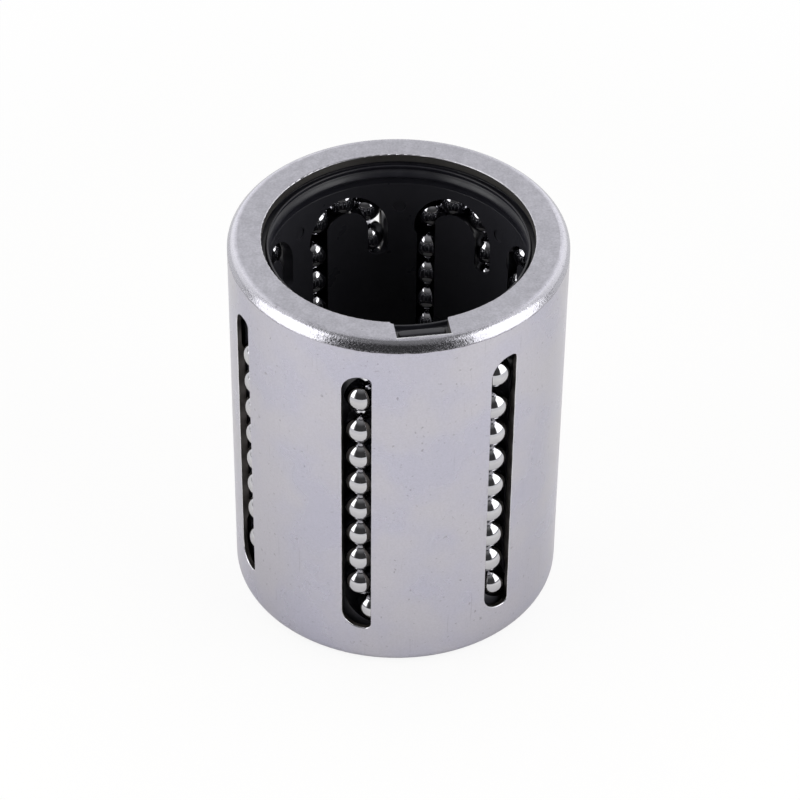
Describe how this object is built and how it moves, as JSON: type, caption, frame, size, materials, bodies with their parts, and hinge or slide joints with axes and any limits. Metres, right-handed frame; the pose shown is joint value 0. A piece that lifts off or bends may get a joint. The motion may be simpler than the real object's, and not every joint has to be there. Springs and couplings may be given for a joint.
{
  "type": "linear ball bearing",
  "caption": "Closed cylindrical linear ball bearing: drawn steel sleeve with long windows over recirculating ball rows, moulded cage and two wiper seals, for guiding a round shaft.",
  "frame": {"origin": "middle of the bottom end face, on the shaft's axis", "axes": "+Z along the shaft axis, upwards; the first window faces -Y"},
  "size_m": [0.04, 0.04, 0.05],
  "materials": {
    "sleeve_steel": "satin ground",
    "cage_acetal": "moulded satin",
    "seal_rubber": "moulded matt",
    "ball_steel": "mirror polished"
  },
  "bodies": {
    "housing": {"outer_sleeve": "sleeve_steel", "ball_cage": "cage_acetal", "top_seal": "seal_rubber", "bottom_seal": "seal_rubber"},
    "load_row_1": {"load_balls_1": "ball_steel"},
    "return_row_1": {"return_balls_1": "ball_steel"},
    "top_turn_1": {"top_turn_balls_1": "ball_steel"},
    "bottom_turn_1": {"bottom_turn_balls_1": "ball_steel"},
    "load_row_2": {"load_balls_2": "ball_steel"},
    "return_row_2": {"return_balls_2": "ball_steel"},
    "top_turn_2": {"top_turn_balls_2": "ball_steel"},
    "bottom_turn_2": {"bottom_turn_balls_2": "ball_steel"},
    "load_row_3": {"load_balls_3": "ball_steel"},
    "return_row_3": {"return_balls_3": "ball_steel"},
    "top_turn_3": {"top_turn_balls_3": "ball_steel"},
    "bottom_turn_3": {"bottom_turn_balls_3": "ball_steel"},
    "load_row_4": {"load_balls_4": "ball_steel"},
    "return_row_4": {"return_balls_4": "ball_steel"},
    "top_turn_4": {"top_turn_balls_4": "ball_steel"},
    "bottom_turn_4": {"bottom_turn_balls_4": "ball_steel"},
    "load_row_5": {"load_balls_5": "ball_steel"},
    "return_row_5": {"return_balls_5": "ball_steel"},
    "top_turn_5": {"top_turn_balls_5": "ball_steel"},
    "bottom_turn_5": {"bottom_turn_balls_5": "ball_steel"},
    "load_row_6": {"load_balls_6": "ball_steel"},
    "return_row_6": {"return_balls_6": "ball_steel"},
    "top_turn_6": {"top_turn_balls_6": "ball_steel"},
    "bottom_turn_6": {"bottom_turn_balls_6": "ball_steel"},
    "load_row_7": {"load_balls_7": "ball_steel"},
    "return_row_7": {"return_balls_7": "ball_steel"},
    "top_turn_7": {"top_turn_balls_7": "ball_steel"},
    "bottom_turn_7": {"bottom_turn_balls_7": "ball_steel"}
  },
  "joints": [
    {"name": "load_row_1_slide", "type": "slide", "parent": "housing", "child": "load_row_1", "axis": [0, 0, 1], "range_m": [-0.00356, 0.00064]},
    {"name": "return_row_1_slide", "type": "slide", "parent": "housing", "child": "return_row_1", "axis": [0, 0, 1], "range_m": [-0.00065, 0.00357]},
    {"name": "top_turn_1_hinge", "type": "hinge", "parent": "housing", "child": "top_turn_1", "pos_m": [0.00387, -0.01659, 0.03973], "axis": [0.2727, -0.9621, 0], "range_deg": [-50.81, 9.19]},
    {"name": "bottom_turn_1_hinge", "type": "hinge", "parent": "housing", "child": "bottom_turn_1", "pos_m": [0.00387, -0.01659, 0.01027], "axis": [0.2727, -0.9621, 0], "range_deg": [-50.81, 9.19]},
    {"name": "load_row_2_slide", "type": "slide", "parent": "housing", "child": "load_row_2", "axis": [0, 0, 1], "range_m": [-0.00267, 0.00153]},
    {"name": "return_row_2_slide", "type": "slide", "parent": "housing", "child": "return_row_2", "axis": [0, 0, 1], "range_m": [-0.00154, 0.00268]},
    {"name": "top_turn_2_hinge", "type": "hinge", "parent": "housing", "child": "top_turn_2", "pos_m": [0.01538, -0.00732, 0.03973], "axis": [0.9222, -0.3866, 0], "range_deg": [-38.13, 21.87]},
    {"name": "bottom_turn_2_hinge", "type": "hinge", "parent": "housing", "child": "bottom_turn_2", "pos_m": [0.01538, -0.00732, 0.01027], "axis": [0.9222, -0.3866, 0], "range_deg": [-38.13, 21.87]},
    {"name": "load_row_3_slide", "type": "slide", "parent": "housing", "child": "load_row_3", "axis": [0, 0, 1], "range_m": [-0.0024, 0.0018]},
    {"name": "return_row_3_slide", "type": "slide", "parent": "housing", "child": "return_row_3", "axis": [0, 0, 1], "range_m": [-0.00181, 0.00241]},
    {"name": "top_turn_3_hinge", "type": "hinge", "parent": "housing", "child": "top_turn_3", "pos_m": [0.01531, 0.00746, 0.03973], "axis": [0.8773, 0.48, 0], "range_deg": [-34.28, 25.72]},
    {"name": "bottom_turn_3_hinge", "type": "hinge", "parent": "housing", "child": "bottom_turn_3", "pos_m": [0.01531, 0.00746, 0.01027], "axis": [0.8773, 0.48, 0], "range_deg": [-34.28, 25.72]},
    {"name": "load_row_4_slide", "type": "slide", "parent": "housing", "child": "load_row_4", "axis": [0, 0, 1], "range_m": [-0.00145, 0.00275]},
    {"name": "return_row_4_slide", "type": "slide", "parent": "housing", "child": "return_row_4", "axis": [0, 0, 1], "range_m": [-0.00276, 0.00146]},
    {"name": "top_turn_4_hinge", "type": "hinge", "parent": "housing", "child": "top_turn_4", "pos_m": [0.00371, 0.01662, 0.03973], "axis": [0.1717, 0.9851, 0], "range_deg": [-20.73, 39.27]},
    {"name": "bottom_turn_4_hinge", "type": "hinge", "parent": "housing", "child": "bottom_turn_4", "pos_m": [0.00371, 0.01662, 0.01027], "axis": [0.1717, 0.9851, 0], "range_deg": [-20.73, 39.27]},
    {"name": "load_row_5_slide", "type": "slide", "parent": "housing", "child": "load_row_5", "axis": [0, 0, 1], "range_m": [-0.00226, 0.00194]},
    {"name": "return_row_5_slide", "type": "slide", "parent": "housing", "child": "return_row_5", "axis": [0, 0, 1], "range_m": [-0.00195, 0.00227]},
    {"name": "top_turn_5_hinge", "type": "hinge", "parent": "housing", "child": "top_turn_5", "pos_m": [-0.01068, 0.01327, 0.03973], "axis": [-0.6631, 0.7485, 0], "range_deg": [-32.28, 27.72]},
    {"name": "bottom_turn_5_hinge", "type": "hinge", "parent": "housing", "child": "bottom_turn_5", "pos_m": [-0.01068, 0.01327, 0.01027], "axis": [-0.6631, 0.7485, 0], "range_deg": [-32.28, 27.72]},
    {"name": "load_row_6_slide", "type": "slide", "parent": "housing", "child": "load_row_6", "axis": [0, 0, 1], "range_m": [-0.0019, 0.0023]},
    {"name": "return_row_6_slide", "type": "slide", "parent": "housing", "child": "return_row_6", "axis": [0, 0, 1], "range_m": [-0.00231, 0.00191]},
    {"name": "top_turn_6_hinge", "type": "hinge", "parent": "housing", "child": "top_turn_6", "pos_m": [-0.01703, -0.00008, 0.03973], "axis": [-0.9987, -0.0518, 0], "range_deg": [-27.15, 32.85]},
    {"name": "bottom_turn_6_hinge", "type": "hinge", "parent": "housing", "child": "bottom_turn_6", "pos_m": [-0.01703, -0.00008, 0.01027], "axis": [-0.9987, -0.0518, 0], "range_deg": [-27.15, 32.85]},
    {"name": "load_row_7_slide", "type": "slide", "parent": "housing", "child": "load_row_7", "axis": [0, 0, 1], "range_m": [-0.00098, 0.00322]},
    {"name": "return_row_7_slide", "type": "slide", "parent": "housing", "child": "return_row_7", "axis": [0, 0, 1], "range_m": [-0.00323, 0.00099]},
    {"name": "top_turn_7_hinge", "type": "hinge", "parent": "housing", "child": "top_turn_7", "pos_m": [-0.01056, -0.01337, 0.03973], "axis": [-0.5822, -0.8131, 0], "range_deg": [-14.03, 45.97]},
    {"name": "bottom_turn_7_hinge", "type": "hinge", "parent": "housing", "child": "bottom_turn_7", "pos_m": [-0.01056, -0.01337, 0.01027], "axis": [-0.5822, -0.8131, 0], "range_deg": [-14.03, 45.97]}
  ],
  "couplings": [
    {"joint": "return_row_1_slide", "follows": "load_row_1_slide", "ratio": -1},
    {"joint": "top_turn_1_hinge", "follows": "load_row_1_slide", "rad_per_m": 248.82},
    {"joint": "bottom_turn_1_hinge", "follows": "load_row_1_slide", "rad_per_m": 248.82},
    {"joint": "return_row_2_slide", "follows": "load_row_2_slide", "ratio": -1},
    {"joint": "top_turn_2_hinge", "follows": "load_row_2_slide", "rad_per_m": 248.82},
    {"joint": "bottom_turn_2_hinge", "follows": "load_row_2_slide", "rad_per_m": 248.82},
    {"joint": "return_row_3_slide", "follows": "load_row_3_slide", "ratio": -1},
    {"joint": "top_turn_3_hinge", "follows": "load_row_3_slide", "rad_per_m": 248.82},
    {"joint": "bottom_turn_3_hinge", "follows": "load_row_3_slide", "rad_per_m": 248.82},
    {"joint": "return_row_4_slide", "follows": "load_row_4_slide", "ratio": -1},
    {"joint": "top_turn_4_hinge", "follows": "load_row_4_slide", "rad_per_m": 248.82},
    {"joint": "bottom_turn_4_hinge", "follows": "load_row_4_slide", "rad_per_m": 248.82},
    {"joint": "return_row_5_slide", "follows": "load_row_5_slide", "ratio": -1},
    {"joint": "top_turn_5_hinge", "follows": "load_row_5_slide", "rad_per_m": 248.82},
    {"joint": "bottom_turn_5_hinge", "follows": "load_row_5_slide", "rad_per_m": 248.82},
    {"joint": "return_row_6_slide", "follows": "load_row_6_slide", "ratio": -1},
    {"joint": "top_turn_6_hinge", "follows": "load_row_6_slide", "rad_per_m": 248.82},
    {"joint": "bottom_turn_6_hinge", "follows": "load_row_6_slide", "rad_per_m": 248.82},
    {"joint": "return_row_7_slide", "follows": "load_row_7_slide", "ratio": -1},
    {"joint": "top_turn_7_hinge", "follows": "load_row_7_slide", "rad_per_m": 248.82},
    {"joint": "bottom_turn_7_hinge", "follows": "load_row_7_slide", "rad_per_m": 248.82}
  ]
}
